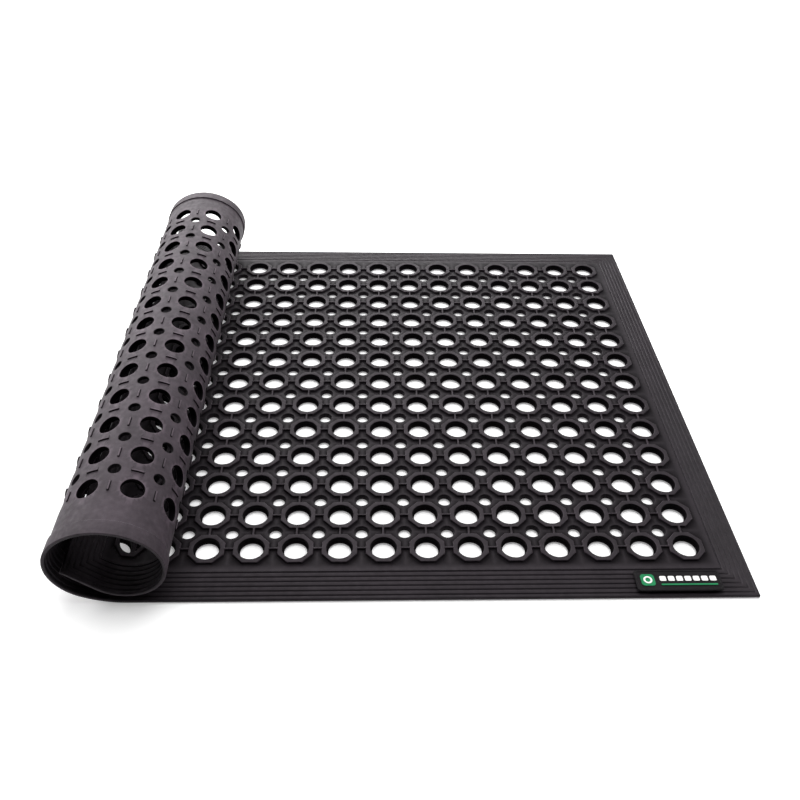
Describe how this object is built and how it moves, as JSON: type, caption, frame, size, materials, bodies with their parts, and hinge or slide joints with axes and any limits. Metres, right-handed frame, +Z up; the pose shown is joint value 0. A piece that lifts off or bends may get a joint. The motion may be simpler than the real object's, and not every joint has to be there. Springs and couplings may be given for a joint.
{
  "type": "anti-fatigue mat",
  "caption": "Rubber anti-fatigue drainage mat with round drain holes and ramped edges, one end rolled up on top of the flat part.",
  "frame": {"origin": "on the floor, at the middle of the footprint of the half-rolled mat", "axes": "+X along the mat towards the flat end, +Y from the front edge (the one with the badge) to the back, +Z up"},
  "size_m": [0.945, 0.9, 0.1411],
  "materials": {
    "rubber": "matt moulded nitrile rubber",
    "badge_black": "soft PVC, satin",
    "badge_green": "moulded PVC colour fill",
    "badge_white": "moulded PVC colour fill",
    "adhesive": "cured adhesive film"
  },
  "bodies": {
    "flat_panel": {"flat_panel": "rubber", "badge_adhesive": "adhesive", "badge_plate": "badge_black", "badge_tile": "badge_green", "badge_ring": "badge_white", "badge_bars": "badge_white", "badge_underline": "badge_green"},
    "roll_strip_01": {"roll_strip_01": "rubber"},
    "roll_strip_02": {"roll_strip_02": "rubber"},
    "roll_strip_03": {"roll_strip_03": "rubber"},
    "roll_strip_04": {"roll_strip_04": "rubber"},
    "roll_strip_05": {"roll_strip_05": "rubber"},
    "roll_strip_06": {"roll_strip_06": "rubber"},
    "roll_strip_07": {"roll_strip_07": "rubber"},
    "roll_strip_08": {"roll_strip_08": "rubber"},
    "roll_strip_09": {"roll_strip_09": "rubber"},
    "roll_strip_10": {"roll_strip_10": "rubber"},
    "roll_strip_11": {"roll_strip_11": "rubber"},
    "roll_strip_12": {"roll_strip_12": "rubber"},
    "roll_strip_13": {"roll_strip_13": "rubber"},
    "roll_strip_14": {"roll_strip_14": "rubber"},
    "roll_strip_15": {"roll_strip_15": "rubber"},
    "roll_strip_16": {"roll_strip_16": "rubber"},
    "roll_end": {"roll_end": "rubber"}
  },
  "joints": [
    {"name": "unroll_01", "type": "hinge", "parent": "flat_panel", "child": "roll_strip_01", "pos_m": [-0.38489, 0, 0.00135], "axis": [0, -1, 0], "range_deg": [0, 6.5]},
    {"name": "unroll_02", "type": "hinge", "parent": "roll_strip_01", "child": "roll_strip_02", "pos_m": [-0.40775, 0, 0.00439], "axis": [0, -1, 0], "range_deg": [0, 13]},
    {"name": "unroll", "type": "hinge", "parent": "roll_strip_02", "child": "roll_strip_03", "pos_m": [-0.43936, 0, 0.01588], "axis": [0, -1, 0], "range_deg": [0, 20.75]},
    {"name": "unroll_04", "type": "hinge", "parent": "roll_strip_03", "child": "roll_strip_04", "pos_m": [-0.46036, 0, 0.03421], "axis": [0, -1, 0], "range_deg": [0, 28.5]},
    {"name": "unroll_05", "type": "hinge", "parent": "roll_strip_04", "child": "roll_strip_05", "pos_m": [-0.47148, 0, 0.06273], "axis": [0, -1, 0], "range_deg": [0, 28]},
    {"name": "unroll_06", "type": "hinge", "parent": "roll_strip_05", "child": "roll_strip_06", "pos_m": [-0.46787, 0, 0.09341], "axis": [0, -1, 0], "range_deg": [0, 27.5]},
    {"name": "unroll_07", "type": "hinge", "parent": "roll_strip_06", "child": "roll_strip_07", "pos_m": [-0.45128, 0, 0.11806], "axis": [0, -1, 0], "range_deg": [0, 24.25]},
    {"name": "unroll_08", "type": "hinge", "parent": "roll_strip_07", "child": "roll_strip_08", "pos_m": [-0.42425, 0, 0.13478], "axis": [0, -1, 0], "range_deg": [0, 21]},
    {"name": "unroll_09", "type": "hinge", "parent": "roll_strip_08", "child": "roll_strip_09", "pos_m": [-0.39406, 0, 0.14038], "axis": [0, -1, 0], "range_deg": [0, 20.88]},
    {"name": "unroll_10", "type": "hinge", "parent": "roll_strip_09", "child": "roll_strip_10", "pos_m": [-0.36377, 0, 0.13484], "axis": [0, -1, 0], "range_deg": [0, 20.75]},
    {"name": "unroll_11", "type": "hinge", "parent": "roll_strip_10", "child": "roll_strip_11", "pos_m": [-0.33636, 0, 0.11808], "axis": [0, -1, 0], "range_deg": [0, 25.25]},
    {"name": "unroll_12", "type": "hinge", "parent": "roll_strip_11", "child": "roll_strip_12", "pos_m": [-0.32028, 0, 0.09349], "axis": [0, -1, 0], "range_deg": [0, 29.75]},
    {"name": "unroll_13", "type": "hinge", "parent": "roll_strip_12", "child": "roll_strip_13", "pos_m": [-0.3182, 0, 0.06278], "axis": [0, -1, 0], "range_deg": [0, 29.88]},
    {"name": "unroll_14", "type": "hinge", "parent": "roll_strip_13", "child": "roll_strip_14", "pos_m": [-0.33167, 0, 0.03518], "axis": [0, -1, 0], "range_deg": [0, 30]},
    {"name": "unroll_15", "type": "hinge", "parent": "roll_strip_14", "child": "roll_strip_15", "pos_m": [-0.35723, 0, 0.01795], "axis": [0, -1, 0], "range_deg": [0, 30.25]},
    {"name": "unroll_16", "type": "hinge", "parent": "roll_strip_15", "child": "roll_strip_16", "pos_m": [-0.38785, 0, 0.01596], "axis": [0, -1, 0], "range_deg": [0, 30.5]},
    {"name": "unroll_17", "type": "hinge", "parent": "roll_strip_16", "child": "roll_end", "pos_m": [-0.40891, 0, 0.02542], "axis": [0, -1, 0], "range_deg": [0, 15.25]}
  ],
  "couplings": [
    {"joint": "unroll_01", "follows": "unroll", "ratio": 0.31325},
    {"joint": "unroll_02", "follows": "unroll", "ratio": 0.62651},
    {"joint": "unroll_04", "follows": "unroll", "ratio": 1.3735},
    {"joint": "unroll_05", "follows": "unroll", "ratio": 1.3494},
    {"joint": "unroll_06", "follows": "unroll", "ratio": 1.3253},
    {"joint": "unroll_07", "follows": "unroll", "ratio": 1.1687},
    {"joint": "unroll_08", "follows": "unroll", "ratio": 1.012},
    {"joint": "unroll_09", "follows": "unroll", "ratio": 1.006},
    {"joint": "unroll_10", "follows": "unroll", "ratio": 1},
    {"joint": "unroll_11", "follows": "unroll", "ratio": 1.2169},
    {"joint": "unroll_12", "follows": "unroll", "ratio": 1.4337},
    {"joint": "unroll_13", "follows": "unroll", "ratio": 1.4398},
    {"joint": "unroll_14", "follows": "unroll", "ratio": 1.4458},
    {"joint": "unroll_15", "follows": "unroll", "ratio": 1.4578},
    {"joint": "unroll_16", "follows": "unroll", "ratio": 1.4699},
    {"joint": "unroll_17", "follows": "unroll", "ratio": 0.73494}
  ]
}
